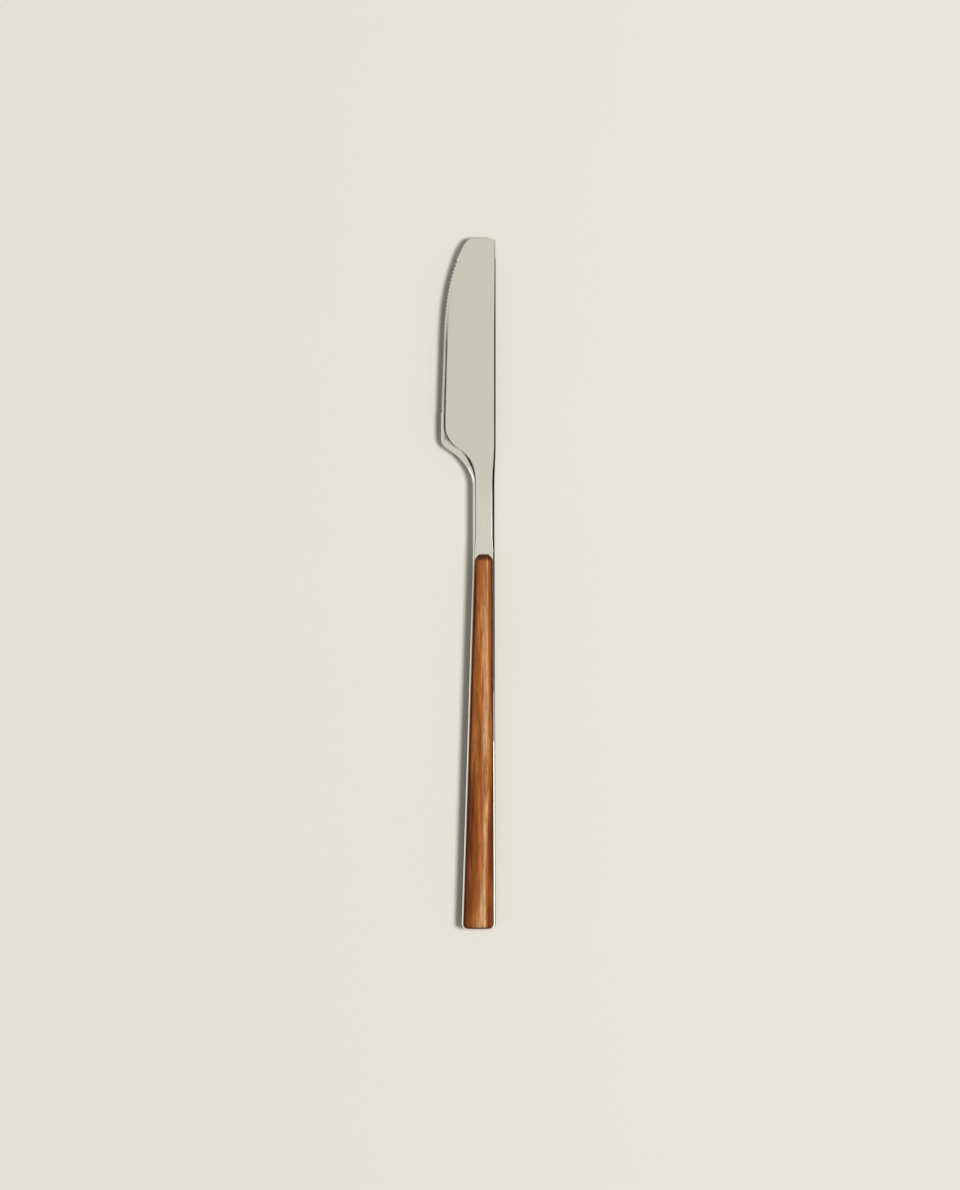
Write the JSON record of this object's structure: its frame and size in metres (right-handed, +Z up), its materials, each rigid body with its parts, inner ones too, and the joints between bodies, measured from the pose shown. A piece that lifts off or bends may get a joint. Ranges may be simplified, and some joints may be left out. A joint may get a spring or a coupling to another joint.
{
  "type": "butter knife",
  "caption": "Slim butter knife: polished steel blade with a straight back, square tip, fine-toothed edge and full tang, under rounded wooden handle scales.",
  "frame": {"origin": "on the surface that the knife lies on, under the middle of its length and width", "axes": "+Y from the butt to the tip, +X towards the straight back, with the cutting edge on -X, and +Z up out of the front face"},
  "size_m": [0.0142, 0.18, 0.0072],
  "materials": {
    "polished_steel": "mirror-polished stainless steel",
    "oiled_wood": "reddish brown hardwood, oiled to a soft gloss",
    "pin_steel": "plain drawn steel",
    "bond": "cured clear adhesive"
  },
  "bodies": {
    "root": {"blade_and_tang": "polished_steel", "front_scale": "oiled_wood", "back_scale": "oiled_wood", "scale_pins": "pin_steel", "front_bond_film": "bond", "back_bond_film": "bond"}
  },
  "joints": []
}
